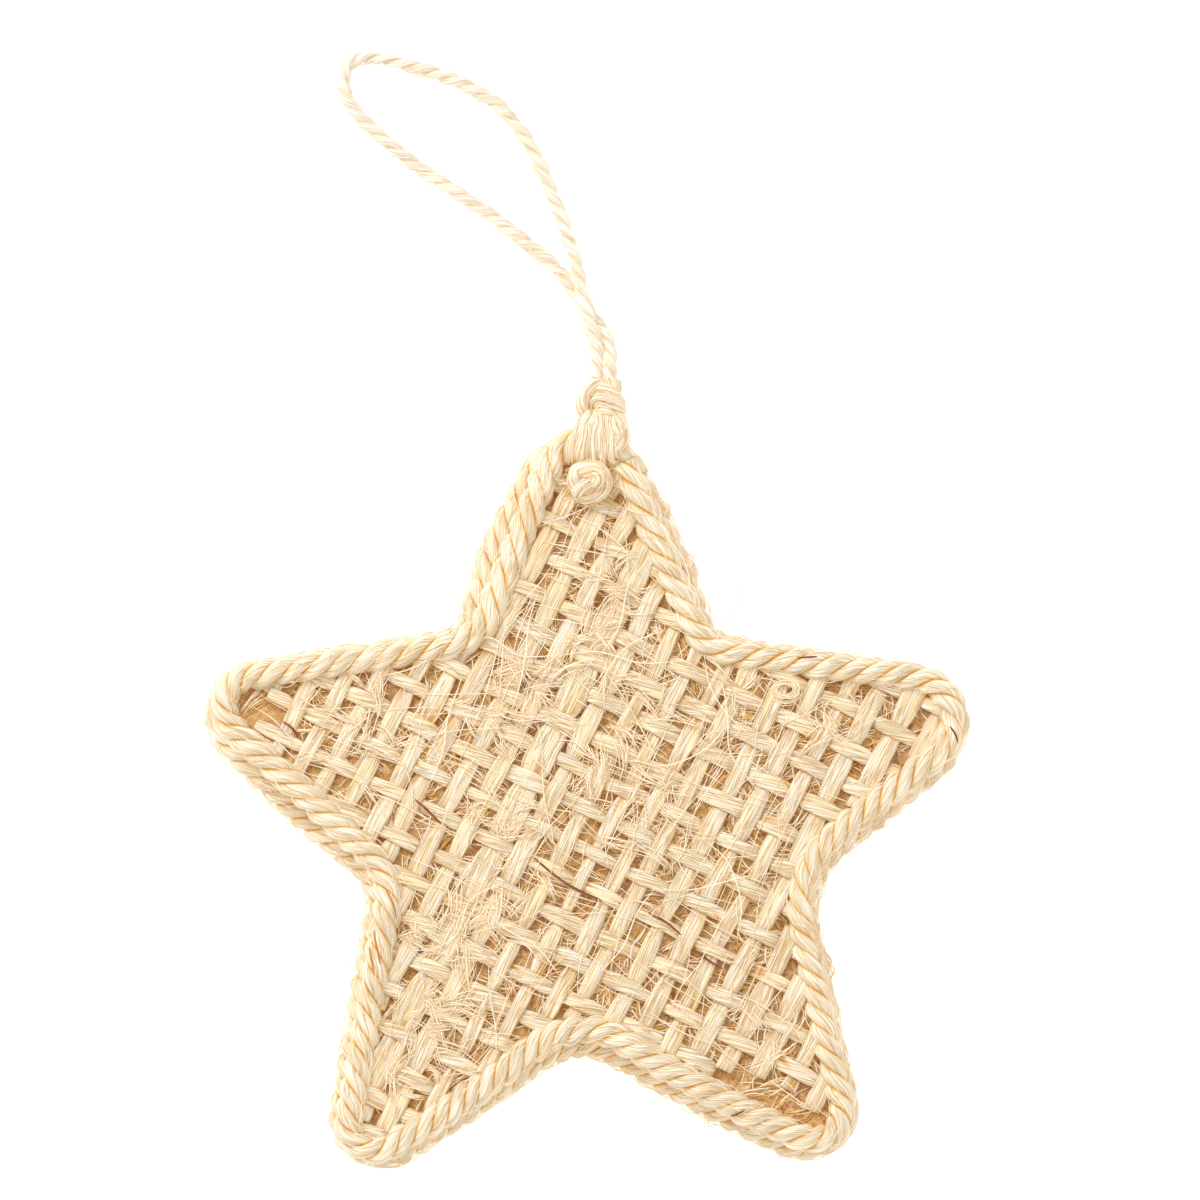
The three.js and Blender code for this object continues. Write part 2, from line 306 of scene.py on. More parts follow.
def combed_sisal(
    name, pale, straw, gold, line_width=0.46, painted_groove_shade=0.8, creases=0.6, painted_glow=0.085, painted_glow_colour="#ffbe50"
):
    """Combed sisal: long fine fibres, silky along their length, cream on top, with painted shade in gold
    in the creases between them and in the grooves between strands, and golden locks at random. Its
    fibres are 0.15 to
    0.2 mm thick, drawn line_width mm apart so that they show. The painted glow stands in for the light
    that comes through them."""
    material, tree = new_material(name)
    place = add_node(tree, "ShaderNodeUVMap", uv_map="fibre").outputs["UV"]

    # Noise stretched along the fibre, by its length and width in mm: the fibres, locks of them, hairs.
    fine, lock, hairline = [
        add_node(
            tree,
            "ShaderNodeTexNoise",
            {
                "Vector": add_node(
                    tree, "ShaderNodeMapping", {"Vector": place, "Scale": (1 / length, 1 / width, 1)}
                ).outputs["Vector"],
                "Scale": 1.0,
                "Detail": detail,
                "Roughness": 0.5,
            },
            noise_dimensions="2D",
        ).outputs["Fac"]
        for length, width, detail in [(11, line_width, 1.5), (16, 1.1, 2.0), (7, 0.5 * line_width, 1.0)]
    ]
    # Where the fine noise crosses its middle, two fibres meet in a crease.
    off_crease = add_node(tree, "ShaderNodeMath", {0: fine, 1: 0.5}, operation="SUBTRACT").outputs[0]
    from_crease = add_node(tree, "ShaderNodeMath", {0: off_crease}, operation="ABSOLUTE").outputs[0]
    sunk = add_node(tree, "ShaderNodeAttribute", attribute_name="sunk").outputs["Fac"]
    tone = add_node(tree, "ShaderNodeAttribute", attribute_name="tone").outputs["Fac"]
    fibre_top, pale_hair, pale_lock, groove_shade_mask, gold_lock = [
        add_node(
            tree,
            "ShaderNodeMapRange",
            {"Value": value, "From Min": low, "From Max": high, "To Max": top},
            interpolation_type="SMOOTHSTEP",
        ).outputs["Result"]
        for value, low, high, top in [
            (from_crease, 0.0, 0.06, 1.0), (hairline, 0.3, 0.7, 0.6), (lock, 0.35, 0.6, 0.5),
            (sunk, 0.55, 1.0, painted_groove_shade), (lock, 0.5, 0.75, 0.6),
        ]
    ]
    paleness = add_node(tree, "ShaderNodeMath", {0: pale_hair, 1: pale_lock}, operation="ADD").outputs[0]
    fibre_colour = add_node(
        tree, "ShaderNodeMix", {0: paleness, 6: linear(straw), 7: linear(pale)}, data_type="RGBA"
    ).outputs[2]
    golden = add_node(tree, "ShaderNodeMath", {0: gold_lock, 1: tone}, operation="MULTIPLY").outputs[0]
    # Painted shade: the creases between fibres, where the bump dips, are mixed toward gold.
    between = add_node(
        tree, "ShaderNodeMath", {0: fibre_top, 1: -creases, 2: creases}, operation="MULTIPLY_ADD"
    ).outputs[0]
    # Painted shade: the grooves between strands, by the sunk attribute, are mixed toward gold, together
    # with the golden locks that the fibre has at random.
    deeper = add_node(tree, "ShaderNodeMath", {0: groove_shade_mask, 1: golden}, operation="MAXIMUM").outputs[0]
    painted_shade_and_gold_locks = add_node(tree, "ShaderNodeMath", {0: deeper, 1: between}, operation="MAXIMUM").outputs[0]
    colour = add_node(
        tree, "ShaderNodeMix", {0: painted_shade_and_gold_locks, 6: fibre_colour, 7: linear(gold)}, data_type="RGBA"
    ).outputs[2]
    relief = add_node(
        tree, "ShaderNodeBump", {"Height": fibre_top, "Strength": 1.0, "Distance": 0.12 * mm}
    ).outputs["Normal"]
    shader = add_node(
        tree,
        "ShaderNodeBsdfPrincipled",
        {
            "Base Color": colour,
            "Roughness": 0.6,
            "IOR": 1.5,
            "Specular IOR Level": 0.35,
            # Painted glow: a constant emission that stands in for the light that comes through the
            # fibres.
            "Emission Color": linear(painted_glow_colour),
            "Emission Strength": painted_glow,
            "Normal": relief,
        },
    )
    finish_material(tree, shader)
    return material


# Bleached sisal twine, spun loosely: nearly white where the plies stand up, with painted shade in gold
# between them and a strong painted glow.
twine_sisal = combed_sisal(
    "bleached_sisal_twine", "#e6e2dc", "#e8dcc8", "#e9c282", creases=0.4, painted_glow=0.22, painted_glow_colour="#fbeedc"
)
knot_place = np.array([knot_column, knot_top, 0.0])
loop_line = smooth_line(
    np.array([tucked_start, *loop_route, tucked_end]) + knot_place, twine_step
)
loop_one, loop_two = carried_axes(loop_line)
loop_tubes = laid_strands(
    loop_line, loop_one, loop_two, twine_plies, twine_lay, start=0.4, hub=ply_hub, swell=ply_swell,
    across_points=14, seed=21, wander=0.9,
)
hanging_loop = fibre_piece("hanging_loop", loop_tubes, twine_sisal)
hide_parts("hanger_loop")

# Tied twine: the same twine's top knot, its flattened legs over the front rope, and the stopper
# knot that holds it on the face. Fibre bundles spread where the twine is untwisted over the rope.
tie_step = 0.4
knot_turns = [
    (0.9, 66.0, 6.3), (1.7, 65.2, 7.9), (0.8, 64.8, 8.9), (-0.4, 63.8, 9.0), (-0.8, 62.3, 8.3),
    (-0.4, 61.0, 7.2), (0.6, 60.8, 5.9), (2.4, 61.2, 5.4), (4.1, 62.0, 6.2), (4.7, 62.8, 7.7),
    (3.6, 63.9, 8.9), (1.9, 64.5, 8.8), (0.8, 64.6, 7.2), (1.6, 63.8, 5.6), (3.6, 62.6, 5.5),
    (4.8, 61.5, 6.7), (4.5, 61.4, 8.2), (2.9, 62.5, 9.1), (1.5, 63.0, 8.8), (0.7, 62.4, 7.4),
    (1.4, 61.6, 5.7), (3.4, 60.9, 5.6), (4.7, 60.5, 6.9), (4.3, 60.3, 8.3), (2.9, 61.0, 8.9),
    (1.6, 61.5, 8.5),
]
second_leg = [
    (3.5, 66.0, 6.3), (3.5, 64.9, 7.0), (2.8, 63.6, 7.2), (2.4, 61.9, 7.2), (2.2, 60.2, 7.4),
]
# The stopper is a wide lower turn, a smaller one on top of it and the end tucked across.
stopper_turns = [(-0.6, 52.9, 8.2), (-0.1, 52.4, 8.8)]
stopper_centre = (0.3, 49.8)
stopper_reach = 2.5
for degrees in range(80, -250, -30):
    stopper_turns.append((
        stopper_centre[0] + stopper_reach * cos(radians(degrees)),
        stopper_centre[1] + stopper_reach * sin(radians(degrees)),
        9.0 + 0.9 * (80 - degrees) / 330,
    ))
for degrees in range(-255, -430, -35):
    reach = 1.7 - 0.5 * (-255 - degrees) / 175
    stopper_turns.append((
        stopper_centre[0] + reach * cos(radians(degrees)),
        stopper_centre[1] + reach * sin(radians(degrees)),
        10.5 + 0.2 * (-255 - degrees) / 175,
    ))
stopper_turns += [(0.9, 49.0, 10.2), (0.0, 48.8, 10.5), (-1.1, 48.3, 10.4), (-1.8, 47.8, 9.6)]
stopper_core = [(-1.2, 50.4, 8.4), (0.0, 50.0, 9.4), (0.4, 49.9, 9.6), (1.3, 49.2, 8.6)]
shoulder_legs = [
    [(4.3, 61.2, 8.0), (5.1, 59.8, 8.6), (5.6, 58.3, 9.0), (5.7, 56.8, 9.3), (5.1, 55.5, 9.8),
     (4.2, 54.9, 9.9)],
    [(4.0, 60.8, 8.5), (4.7, 59.4, 9.3), (5.0, 58.1, 9.6), (5.0, 57.0, 9.8), (4.4, 56.1, 10.1),
     (3.6, 55.8, 9.7)],
]
tie_tubes = []
tie_lines = []
for number, (route, strands, hub, swell) in enumerate([
    (knot_turns, 6, 0.62, 0.54),
    (second_leg, 5, 1.0, 0.7),
    (stopper_turns, 6, 0.6, 0.5),
    (stopper_core, 4, 0.9, 0.8),
    (shoulder_legs[0], 4, 0.42, 0.4),
    (shoulder_legs[1], 4, 0.42, 0.4),
]):
    line = smooth_line(route, tie_step)
    one, two = carried_axes(line, (0.3, 0.2, 0.93))
    tie_lines.append((line, one, two, hub + swell))
    tie_tubes += laid_strands(
        line, one, two, strands, 17.0, start=1.1 + number, hub=hub, swell=swell, across_points=9,
        seed=40 + number, wander=0.8, drift=-0.1,
    )
# The legs are fanned out flat over the front rope, from the knot down to the stopper.
leg_count = 11
for leg in range(leg_count):
    share = leg / (leg_count - 1)
    spread = 0.14 * sin(7.1 * leg)
    route = [
        (0.2 + 3.7 * share, 61.2, 8.0),
        (-0.6 + 4.7 * share + spread, 60.1, 9.0 + 0.3 * sin(pi * share)),
        (-1.5 + 5.7 * share - spread, 58.6, 9.8 + 0.4 * sin(pi * share)),
        (-2.2 + 6.6 * share + spread, 56.9, 10.3 + 0.1 * sin(5 * leg)),
        (-2.8 + 7.3 * share, 55.2, 10.1 + 0.2 * spread),
        (-3.1 + 7.7 * share - spread, 53.9 + 0.5 * sin(3.3 * leg), 9.2 + 0.5 * share),
        (-3.1 + 7.8 * share, 53.2 + 0.5 * sin(3.3 * leg), 8.0 + 1.2 * share),
    ]
    line = smooth_line(route, tie_step)
    one, two = carried_axes(line)
    tie_lines.append((line, one, two, 0.5))
    tie_tubes += laid_strands(
        line, one, two, 3, 22.0, start=0.9 * leg, hub=0.22, swell=0.34, across_points=8,
        seed=60 + leg, wander=0.4, drift=-0.1,
    )
# The tied part is a little more golden than the loop: warmer straw, a deeper gold for its golden locks
# and its painted shade in the creases and grooves, and a warmer painted glow.
tied_sisal = combed_sisal(
    "tied_sisal_twine", "#f6f2ec", "#f0e0c2", "#dba542", line_width=0.36, creases=0.6, painted_glow=0.14,
    painted_glow_colour="#ffca68",
)
tied_twine = fibre_piece("tied_twine", tie_tubes, tied_sisal)
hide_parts("hanger_tie")

# Rim ropes: two ropes of three thick strands of combed sisal, S laid. Each goes once round the
# star and is glued to the edge of the card, its ends butted at the top tip under the tied twine.
arm_reach = 66
star_corners = [
    (-0.005, 1.015, 0.094),
    (-0.262, 0.371, 0.126),
    (-0.956, 0.268, 0.074),
    (-0.461, -0.189, 0.152),
    (-0.592, -0.926, 0.062),
    (-0.02, -0.55, 0.205),
    (0.632, -0.891, 0.067),
    (0.479, -0.18, 0.227),
    (1.014, 0.253, 0.1),
    (0.274, 0.353, 0.129),
]
rope_lay = 10.0
rope_step = 0.45
rope_strands = 3
strand_hub = 1.05
strand_swell = 1.3
rope_tightened = 4.8
front_rope_height = 7.204
back_rope_height = 2.35
back_rope_spread = 0.9
back_rope_shift = (-0.4, 0.1)
back_tip_ease = 0.9
# Where a rope, as it was glued down by hand, leaves the even outline of the star: the middle of the
# stretch, its reach and its move. The back rope bulges out beside the top arm and under the left one.
front_rope_moves = [
    ((-1.0, -36.0), 16, (0.0, 1.7)), ((-39.0, -60.0), 13, (0.2, 1.0)), ((41.5, -58.0), 13, (0.0, 0.8)),
]
back_rope_moves = [
    ((-1.0, -36.0), 16, (0.0, 0.9)), ((-39.0, -60.0), 13, (0.2, 1.0)), ((41.5, -58.0), 13, (0.0, 0.8)),
    ((-15.0, 41.0), 15, (-2.3, 0.2)), ((14.5, 42.0), 15, (1.3, 0.2)), ((-48.0, -2.0), 15, (-0.6, -0.8)),
]
front_rope_start = radians(50)
back_rope_start = radians(105)


def star_outline(offset, tip_ease=0.0, spacing=0.5):
    """The star's outline moved outwards, counterclockwise, each corner rounded by its radius."""
    corners = np.array([(x, y) for x, y, _ in star_corners])
    ahead = np.roll(corners, -1, axis=0) - corners
    ahead /= np.linalg.norm(ahead, axis=1, keepdims=True)
    points = []
    for number, (x, y, radius) in enumerate(star_corners):
        before, after = ahead[number - 1], ahead[number]
        side = np.sign(before[0] * after[1] - before[1] * after[0])
        turn = np.arccos(before.dot(after))
        out_before = np.array([before[1], -before[0]])
        out_after = np.array([after[1], -after[0]])
        shift = offset / (1 + out_before.dot(out_after))
        rounding = radius * arm_reach + side * offset + (tip_ease if side > 0 else 0)
        corner = np.array([x, y]) * arm_reach + shift * (out_before + out_after)
        first = corner - before * rounding * tan(turn / 2)
        centre = first - side * out_before * rounding
        start = np.arctan2(*(first - centre)[::-1])
        for angle in start + side * turn * np.linspace(0, 1, 15):
            points.append(centre + rounding * np.array([np.cos(angle), np.sin(angle)]))
    points = np.array(points + points[:1])
    run = run_of(points)
    places = np.linspace(0, run[-1], round(run[-1] / spacing) + 1)
    return np.stack([np.interp(places, run, points[:, axis]) for axis in range(2)], 1)


def moved_near(outline, places):
    """The outline moved near some places, each given by its middle, its reach and the move."""
    for middle, reach, moved in places:
        away = np.linalg.norm(outline - middle, axis=1)[:, None]
        outline = outline + np.exp(-((away / reach) ** 2)) * np.array(moved)
    return outline


def rim_rope(name, flat, height, start, seed, material):
    """One rope laid along a flat outline of the star, as a piece."""
    line = np.column_stack([flat, np.full(len(flat), height)])
    ahead = np.gradient(flat, axis=0)
    ahead[0] = ahead[-1] = flat[1] - flat[-2]
    ahead /= np.linalg.norm(ahead, axis=1, keepdims=True)
    upward = np.tile([0.0, 0.0, 1.0], (len(flat), 1))
    outward = np.column_stack([ahead[:, 1], -ahead[:, 0], np.zeros(len(flat))])
    lay = run_of(line)[-1] / round(run_of(line)[-1] / rope_lay)
    tubes = laid_strands(
        line, upward, outward, rope_strands, lay, start, hub=strand_hub, swell=strand_swell,
        across_points=24, seed=seed, wander=0.5, drift=-1.0, tightened=rope_tightened,
    )
    return fibre_piece(name, tubes, material), line, upward, outward


# Three strand sisal rope, combed smooth before it was laid: cream, with gold painted between the strands
# as shade.
rope_sisal = combed_sisal(
    "combed_sisal_rope", "#f2efe8", "#ecdfc0", "#dfa944", line_width=0.36, painted_groove_shade=0.9, creases=0.5,
    painted_glow=0.15, painted_glow_colour="#ffca68",
)
front_rope_outline = star_outline(0.0, spacing=rope_step)
front_rope, front_line, front_up, front_out = rim_rope(
    "front_rope", moved_near(front_rope_outline, front_rope_moves), front_rope_height,
    front_rope_start, 101, rope_sisal,
)
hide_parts("rope_front")
back_rope_outline = star_outline(back_rope_spread, back_tip_ease, rope_step) + back_rope_shift
back_rope, back_line, back_up, back_out = rim_rope(
    "back_rope", moved_near(back_rope_outline, back_rope_moves), back_rope_height, back_rope_start,
    205, rope_sisal,
)
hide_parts("rope_back")

# Card star: 3 mm tan board cut to the star, between the two cloths. Its face shows brown through
# the open weave, and bare at some tips.
card_low = 3.277
card_high = 6.277
card_inset = 1.9
card_bevel = 0.35
card_line = star_outline(-card_inset, spacing=1.0)[:-1]

# Tan card, dead matt, with felted fibre on its face: tufts of about 1 mm and blotches of about 4 mm.
tufts_per_metre = 1000.0
blotches_per_metre = 260.0
card_board, card_tree = new_material("tan_card")
card_place = add_node(card_tree, "ShaderNodeTexCoord").outputs["Object"]
felt = add_node(
    card_tree,
    "ShaderNodeTexNoise",
    {
        "Vector": card_place,
        "Scale": tufts_per_metre,
        "Detail": 4.0,
        "Roughness": 0.7,
        "Distortion": 1.2,
    },
).outputs["Fac"]
blotch = add_node(
    card_tree, "ShaderNodeTexNoise", {"Vector": card_place, "Scale": blotches_per_metre, "Detail": 2.0}
).outputs["Fac"]
felt_share = add_node(
    card_tree, "ShaderNodeMapRange", {"Value": felt, "From Min": 0.38, "From Max": 0.62}
).outputs["Result"]
felt_colour = add_node(
    card_tree,
    "ShaderNodeMix",
    {0: felt_share, 6: linear("#b2763a"), 7: linear("#f2d096")},
    data_type="RGBA",
).outputs[2]
blotch_share = add_node(
    card_tree,
    "ShaderNodeMapRange",
    {"Value": blotch, "From Min": 0.45, "From Max": 0.65, "To Max": 0.6},
).outputs["Result"]
card_colour = add_node(
    card_tree,
    "ShaderNodeMix",
    {0: blotch_share, 6: felt_colour, 7: linear("#d8aa6c")},
    data_type="RGBA",
).outputs[2]
card_relief = add_node(
    card_tree, "ShaderNodeBump", {"Height": felt, "Strength": 1.0, "Distance": 0.3 * mm}
).outputs["Normal"]
card_shader = add_node(
    card_tree,
    "ShaderNodeBsdfPrincipled",
    {"Base Color": card_colour, "Roughness": 0.85, "Normal": card_relief},
)
finish_material(card_tree, card_shader)

bpy.ops.object.select_all(action="DESELECT")
bpy.ops.mesh.primitive_circle_add(
    vertices=len(card_line), radius=0.05, fill_type="NGON", location=(0, 0, 0)
)
card = bpy.context.object
card.name = "card_star"
for vertex, (x, y) in zip(card.data.vertices, card_line):
    vertex.co = (x * mm, y * mm, card_low * mm)
bpy.ops.object.mode_set(mode="EDIT")
bpy.ops.mesh.select_all(action="SELECT")
bpy.ops.mesh.extrude_region_move(
    TRANSFORM_OT_translate={"value": (0, 0, (card_high - card_low - card_bevel) * mm)}
)
bpy.ops.mesh.inset(thickness=card_bevel * mm, depth=card_bevel * mm)
bpy.ops.mesh.select_all(action="SELECT")
bpy.ops.mesh.normals_make_consistent(inside=False)
bpy.ops.object.mode_set(mode="OBJECT")
card.data.materials.append(card_board)
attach(card, "root")
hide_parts("card_core")

# Woven cloth: flat untwisted strips of combed sisal in an open plain weave, glued to each face of
# the card and cut to end under the rim rope. The strips are hand sorted, so none is quite as wide
# or as straight as the next, and they are ridged with the fibres that they are made of.
warp_bearing = radians(63.4)
warp = np.array([cos(warp_bearing), sin(warp_bearing)])
weft = np.array([sin(warp_bearing), -cos(warp_bearing)])
warp_pitch = 4.8
weft_pitch = 5.5
warp_width = 2.9
weft_width = 2.5
strip_thickness = 0.56
strip_rise = 0.36
lock_width = 0.62
thread_width = 0.27
cloth_step = 0.7
cloth_reach = 75
shortest_strip = 1.2
front_cloth_middle = 7.2
back_cloth_middle = 2.33
# Where the front strips lie in the middle of the star, from the leftmost warp and the lowest weft,
# and how wide those warps are.
front_warp_places = [-27.9, -24.1, -18.8, -14.4, -9.4, -5.1, 0.3, 5.1, 9.9, 13.5, 19.3, 24.1, 28.8]
front_weft_places = [-29.6, -24.3, -18.8, -13.1, -7.6, -1.8, 3.4, 8.7, 14.7, 19.9, 25.1]
front_warp_widths = [2.8, 2.9, 3.1, 2.8, 4.5, 3.1, 2.3, 2.2, 2.5, 2.8, 2.8, 2.9, 2.5]


def spans_inside(origin, direction, outline):
    """Where a straight line lies inside an outline, as pairs of places along it."""
    normal = np.array([-direction[1], direction[0]])
    offsets = (outline - origin) @ normal
    along = (outline - origin) @ direction
    hits = np.nonzero(offsets[:-1] * offsets[1:] < 0)[0]
    shares = offsets[hits] / (offsets[hits] - offsets[hits + 1])
    places = np.sort(along[hits] + shares * (along[hits + 1] - along[hits]))
    return list(zip(places[0::2], places[1::2]))


def strip_tube(
    origin, direction, span, width, slope, crossings, signs, middle, facing, seed, top_points
):
    """One woven strip as a closed tube, over and under the strips that cross it."""
    start, end = span
    steps = max(4, round((end - start) / cloth_step))
    run = np.linspace(start, end, steps + 1)[:, None]
    side = np.array([-direction[1], direction[0]])
    rise = np.sin(pi / 2 * np.interp(run, crossings, signs))
    sway = 0.32 * grain(run / 11, 0.3, seed)
    broad = 1 + 0.16 * grain(run / 8, 0.5, seed + 1) + 0.08 * grain(run / 1.9, 0.5, seed + 2)
    broad = width * broad * (1 - 0.16 * np.clip(-rise, 0, 1))
    share = np.linspace(1, -1, top_points)[None, :]
    fibre = share * width / 2
    crown = strip_thickness / 2 * (1 - np.abs(share) ** 2.4) ** 0.6
    slant = slope * run * (1 + 0.5 * grain(run / 14, 0.2, seed + 8))
    locks = grain(run / 9, (fibre + slant) / lock_width + 5.0, seed + 3)
    threads = grain(run / 6, (fibre + slant) / thread_width + 9.0, seed + 4)
    split = np.clip(-locks - 0.3, 0, 1) * 0.3
    ridge = (0.07 * locks + 0.07 * threads - split) * (1 - np.abs(share) ** 6)
    under = np.linspace(-0.8, 0.8, 3)[None, :]
    belly = -strip_thickness / 2 * (1 - np.abs(under) ** 2.6) ** 0.6 * np.ones_like(run)
    shares = np.concatenate([share * np.ones_like(run), under * np.ones_like(run)], 1)
    heights = np.concatenate([crown + ridge, belly], 1)
    tilt = 0.12 * grain(run / 10, 0.7, seed + 5) * shares
    flat = origin + run[..., None] * direction + (
        (shares * broad / 2 + sway)[..., None] * side
    )
    lift = middle + facing * (strip_rise * rise + heights + tilt)
    rings = np.concatenate([flat, lift[..., None]], -1)
    # How sunk each point is, used for the painted shade in gold: more at the strip's edges, in the
    # valleys between its ridges and where it dips under a crossing strip.
    depth = np.concatenate([
        np.clip(0.30 - 2.4 * ridge + 0.3 * np.abs(share) ** 4 - 0.15 * rise, 0, 1.2),
        np.ones((len(run), under.shape[1])),
    ], 1)
    if facing < 0:
        rings = rings[:, ::-1]
        depth = depth[:, ::-1]
    places = np.concatenate([-share[0] * width / 2, width / 2 + 0.5 * np.arange(1, 5)])
    tone = np.broadcast_to(0.5 + 0.5 * grain(run / 25, 0.9, seed + 6), depth.shape)
    return {
        "rings": rings,
        "along": run[:, 0] - start,
        "across": places,
        "drift": facing * slope,
        "origin": 3.7 * (seed % 211),
        "sunk": depth,
        "tone": tone,
    }


def spread_on(places, pitch, reach, rng):
    """Strip places carried on at the usual pitch past both ends, as far as reach."""
    places = list(places)
    while places[0] > -reach:
        places.insert(0, places[0] - pitch * rng.uniform(0.92, 1.08))
    while places[-1] < reach:
        places.append(places[-1] + pitch * rng.uniform(0.92, 1.08))
    return np.array(places)


def woven_cloth(name, outline, middle, facing, seed, top_points, warp_places, weft_places, material):
    """All the strips of one cloth, clipped to its outline, as a piece."""
    rng = np.random.default_rng(seed)
    first_warp, first_weft = warp_places[0], weft_places[0]
    warp_places = spread_on(warp_places, warp_pitch, cloth_reach, rng)
    weft_places = spread_on(weft_places, weft_pitch, cloth_reach, rng)
    warp_numbers = np.arange(len(warp_places)) - np.argmin(np.abs(warp_places - first_warp))
    weft_numbers = np.arange(len(weft_places)) - np.argmin(np.abs(weft_places - first_weft))
    tubes = []
    for lengthwise in (True, False):
        direction, sideways = (warp, weft) if lengthwise else (weft, warp)
        places, crossings = (warp_places, weft_places) if lengthwise else (weft_places, warp_places)
        numbers, others = (warp_numbers, weft_numbers) if lengthwise else (weft_numbers, warp_numbers)
        for number, place in zip(numbers, places):
            width = (warp_width if lengthwise else weft_width) * rng.uniform(0.85, 1.15)
            if lengthwise and facing > 0 and 0 <= number < len(front_warp_widths):
                width = front_warp_widths[number]
            slope = rng.uniform(-0.04, 0.08) if lengthwise else rng.uniform(0.1, 0.3)
            over = np.where((others + number) % 2 == 0, 1.0, -1.0)
            signs = over if lengthwise else -over
            for span in spans_inside(sideways * place, direction, outline):
                if span[1] - span[0] > shortest_strip:
                    tubes.append(strip_tube(
                        sideways * place, direction, span, width, slope, crossings, signs,
                        middle, facing, seed + 17 * len(tubes), top_points,
                    ))
    return fibre_piece(name, tubes, material)


# Flat combed sisal strips: straw coloured, with a silky line along each fibre and painted shade in gold
# in the creases, at the edges and where a strip dips under another.
strip_sisal = combed_sisal(
    "combed_sisal_strip", "#f1ece0", "#ebd3a3", "#d09337", line_width=0.4, painted_groove_shade=0.85,
    creases=0.5, painted_glow=0.1, painted_glow_colour="#ffc050",
)
# The front cloth stops short of the rope at the left tip and beside the right foot: the card is bare
# there, each place given by its middle, its reach and how far the cloth's edge is moved.
bare_places = [((-58.0, 16.5), 6.0, (6.5, -1.0)), ((27.0, -50.0), 11.0, (2.1, 4.3))]
front_cut = moved_near(star_outline(-1.3), front_rope_moves + bare_places)
back_cut = star_outline(-0.6)
front_cloth = woven_cloth(
    "front_cloth", front_cut, front_cloth_middle, 1, 300, 15, front_warp_places, front_weft_places,
    strip_sisal,
)
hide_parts("cloth_front")
back_cloth = woven_cloth(
    "back_cloth", back_cut, back_cloth_middle, -1, 500, 9, [0.0], [0.0], strip_sisal
)
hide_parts("cloth_back")


# Loose fibres: sisal that has worked out of the weave, the ropes and the twine. Some lie long and
# pale across the face, some curl in the gaps, some stand in tufts where a strip has frayed.


def hair_tube(line, thickness, tone, sunk=0.0):
    """A fibre with three sides and thin ends, as a closed tube."""
    ahead = np.gradient(line, axis=0)
    ahead /= np.linalg.norm(ahead, axis=1, keepdims=True)
    side = np.cross([0.0, 0.0, 1.0], ahead) + [1e-6, 0.0, 0.0]
    side /= np.linalg.norm(side, axis=1, keepdims=True)
    up = np.cross(ahead, side)
    share = np.abs(np.linspace(-1, 1, len(line)))[:, None]
    size = thickness / 2 * (1 - 0.6 * share**3)
    corners = [radians(20), radians(160), radians(270)]
    rings = np.stack([line + size * (cos(a) * side + sin(a) * up) for a in corners], 1)
    return {
        "rings": rings,
        "along": run_of(line),
        "across": np.array([0.0, 0.12, 0.24, 0.36]),
        "drift": 0.0,
        "origin": 100 * tone,
        "sunk": np.full(rings.shape[:2], sunk),
        "tone": np.full(rings.shape[:2], tone),
    }


def inside(points, outline):
    """Which points lie inside a closed outline."""
    x, y = points[:, :1], points[:, 1:2]
    x0, y0, x1, y1 = outline[:-1, 0], outline[:-1, 1], outline[1:, 0], outline[1:, 1]
    spans = (y0 > y) != (y1 > y)
    rise = np.where(y1 == y0, 1e-9, y1 - y0)
    return (spans & (x < (x1 - x0) * (y - y0) / rise + x0)).sum(1) % 2 == 1


def stray_line(middle, heading, length, curl, sway, low, high, points, rng):
    """A loose fibre's line, bent by curl over its length and lifted from low to high half way."""
    share = np.linspace(0, 1, points)
    wave = sway * np.sin(2 * pi * share * rng.uniform(0.5, 1.3) + rng.uniform(0, 6))
    turn = heading + curl * (share - 0.5) + wave
    steps = np.column_stack([np.cos(turn), np.sin(turn)]) * length / (points - 1)
    flat = np.cumsum(steps, axis=0)
    flat += middle - flat.mean(0)
    tip = rng.uniform(-0.15, 0.15) * (2 * share - 1)
    return np.column_stack([flat, low + (high - low) * np.sin(pi * share) ** 0.8 + tip])


def scattered(count, rng, outline):
    """Points spread evenly at random inside an outline."""
    low, high = outline.min(0), outline.max(0)
    spots = rng.uniform(low, high, (count * 4, 2))
    return spots[inside(spots, outline)][:count]


face_edge = star_outline(-1.6)
rng = np.random.default_rng(11)


def strays(count, lengths, curls, sways, lows, highs, points, thickness, along_strips, rng):
    """Loose fibres scattered over the face, each with its middle and ends inside the rim rope."""
    tubes = []
    for spot in scattered(count, rng, face_edge):
        heading = rng.uniform(0, pi)
        if rng.random() < along_strips:
            heading = warp_bearing - (pi / 2 if rng.random() < 0.5 else 0) + rng.normal(0, 0.17)
        line = stray_line(
            spot, heading, rng.uniform(*lengths), rng.uniform(-1, 1) * rng.uniform(*curls),
            rng.uniform(*sways), rng.uniform(*lows), rng.uniform(*highs), points, rng,
        )
        if inside(line[[0, -1], :2], face_edge).all():
            tubes.append(hair_tube(line, thickness * rng.uniform(0.7, 1.3), rng.random()))
    return tubes


# Single bleached fibres: nearly white, lifted by a painted glow that stands in for the light that comes
# through them from every side.
loose_sisal = combed_sisal(
    "loose_bleached_fibre", "#fbf5ea", "#f6e6c6", "#e3b768", line_width=4.0, painted_glow=0.15, painted_glow_colour="#ffd9a0"
)
# The same fibre deep in the gaps, as a darker brown copy of it: painted shade.
shaded_sisal = combed_sisal(
    "loose_brown_fibre", "#ecc583", "#d4a052", "#b07a34", line_width=4.0, painted_glow=0.08
)
